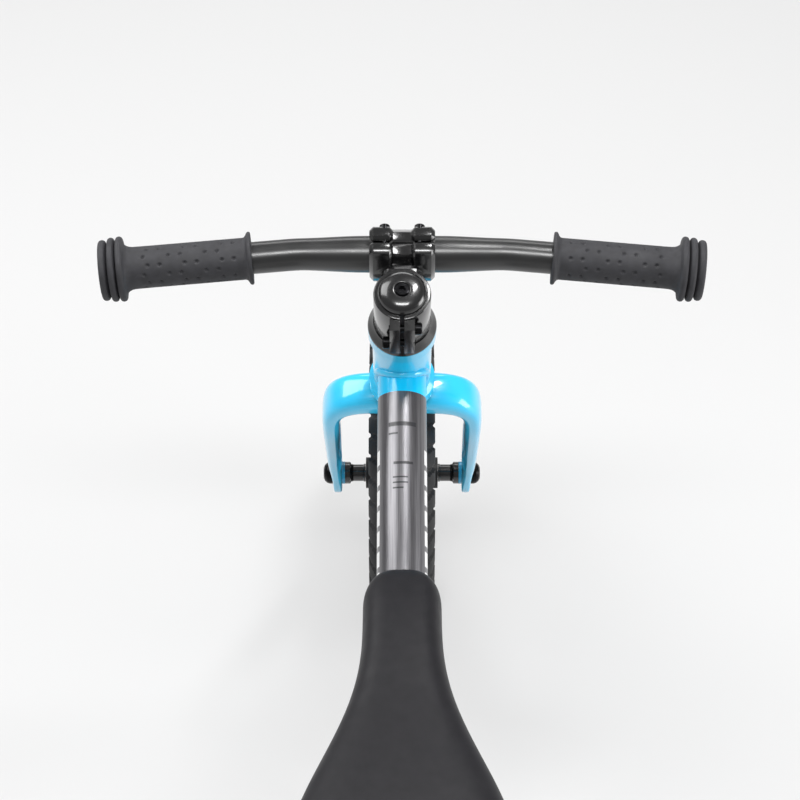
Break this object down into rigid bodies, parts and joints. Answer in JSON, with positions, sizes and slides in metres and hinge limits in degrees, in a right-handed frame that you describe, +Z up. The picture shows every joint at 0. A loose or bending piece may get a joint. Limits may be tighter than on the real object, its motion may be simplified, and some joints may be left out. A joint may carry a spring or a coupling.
{
  "type": "balance bike",
  "caption": "Child's pedal-free balance bike: aluminium tube frame, painted fork, turning handlebar with end-guard grips, air tyres on moulded wheels, height-adjustable saddle.",
  "frame": {"origin": "on the ground, midway between the two axles, in the bike's middle plane", "axes": "+Y forwards, +X to the rider's right, +Z up"},
  "size_m": [0.4188, 0.857, 0.492],
  "materials": {
    "blue_paint": "gloss",
    "brushed_aluminium": "brushed, clear coated",
    "bearing_steel": "turned",
    "gloss_black_alloy": "gloss black anodised",
    "black_screws": "black oxide",
    "satin_black_bar": "satin",
    "grip_rubber": "matt moulded",
    "tyre_rubber": "matt moulded",
    "butyl": "matt",
    "moulded_nylon": "moulded",
    "nickel": "plated",
    "post_alloy": "satin black anodised",
    "rail_steel": "plated",
    "saddle_cover": "satin synthetic leather"
  },
  "bodies": {
    "frame": {"head_tube": "blue_paint", "main_tube": "brushed_aluminium", "seat_tube": "brushed_aluminium", "upper_yoke": "brushed_aluminium", "lower_yoke": "brushed_aluminium", "upper_stay_left": "brushed_aluminium", "upper_stay_right": "brushed_aluminium", "lower_stay_left": "brushed_aluminium", "lower_stay_right": "brushed_aluminium", "rear_dropout_left": "brushed_aluminium", "rear_dropout_right": "brushed_aluminium", "upper_head_bearing": "bearing_steel", "lower_head_bearing": "bearing_steel", "seat_collar": "gloss_black_alloy", "collar_skewer": "bearing_steel", "rear_axle": "bearing_steel", "rear_spacers": "gloss_black_alloy", "rear_axle_bolts": "gloss_black_alloy", "rear_hub_sleeve": "nickel"},
    "steering": {"fork_crown": "blue_paint", "fork_leg_left": "blue_paint", "fork_leg_right": "blue_paint", "steerer_tube": "bearing_steel", "crown_race": "gloss_black_alloy", "headset_cover": "gloss_black_alloy", "compression_ring": "brushed_aluminium", "star_nut": "brushed_aluminium", "top_cap": "gloss_black_alloy", "top_cap_bolt": "black_screws", "stem_body": "gloss_black_alloy", "stem_faceplate": "gloss_black_alloy", "faceplate_bolts": "black_screws", "pinch_bolts": "black_screws", "handlebar": "satin_black_bar", "grip_left": "grip_rubber", "grip_right": "grip_rubber", "front_axle": "bearing_steel", "front_spacers": "gloss_black_alloy", "front_axle_bolts": "gloss_black_alloy", "front_hub_sleeve": "nickel"},
    "front_wheel_assembly": {"front_tyre": "tyre_rubber", "front_inner_tube": "butyl", "front_wheel": "moulded_nylon", "front_bearings": "bearing_steel", "front_valve": "nickel"},
    "rear_wheel_assembly": {"rear_tyre": "tyre_rubber", "rear_inner_tube": "butyl", "rear_wheel": "moulded_nylon", "rear_bearings": "bearing_steel", "rear_valve": "nickel"},
    "saddle_assembly": {"seat_post": "post_alloy", "saddle_clamp_lower": "post_alloy", "saddle_clamp_upper": "post_alloy", "saddle_clamp_bolts": "black_screws", "saddle_rails": "rail_steel", "saddle_shell": "moulded_nylon", "saddle_pad": "saddle_cover"},
    "lever": {"quick_release_lever": "gloss_black_alloy"}
  },
  "joints": [
    {"name": "steering_turn", "type": "hinge", "parent": "frame", "child": "steering", "pos_m": [0, 0.17957, 0.38438], "axis": [0, -0.342, 0.9397], "range_deg": [-80, 80]},
    {"name": "front_wheel_spin", "type": "hinge", "parent": "steering", "child": "front_wheel_assembly", "pos_m": [0, 0.28, 0.1485], "axis": [1, 0, 0], "continuous": true},
    {"name": "rear_wheel_spin", "type": "hinge", "parent": "frame", "child": "rear_wheel_assembly", "pos_m": [0, -0.28, 0.1485], "axis": [1, 0, 0], "continuous": true},
    {"name": "saddle_height", "type": "slide", "parent": "frame", "child": "saddle_assembly", "axis": [0, -0.342, 0.9397], "range_m": [0, 0.06]},
    {"name": "lever_swing", "type": "hinge", "parent": "frame", "child": "lever", "pos_m": [-0.017, -0.15289, 0.28913], "axis": [0, -0.342, 0.9397], "range_deg": [0, 120]}
  ]
}
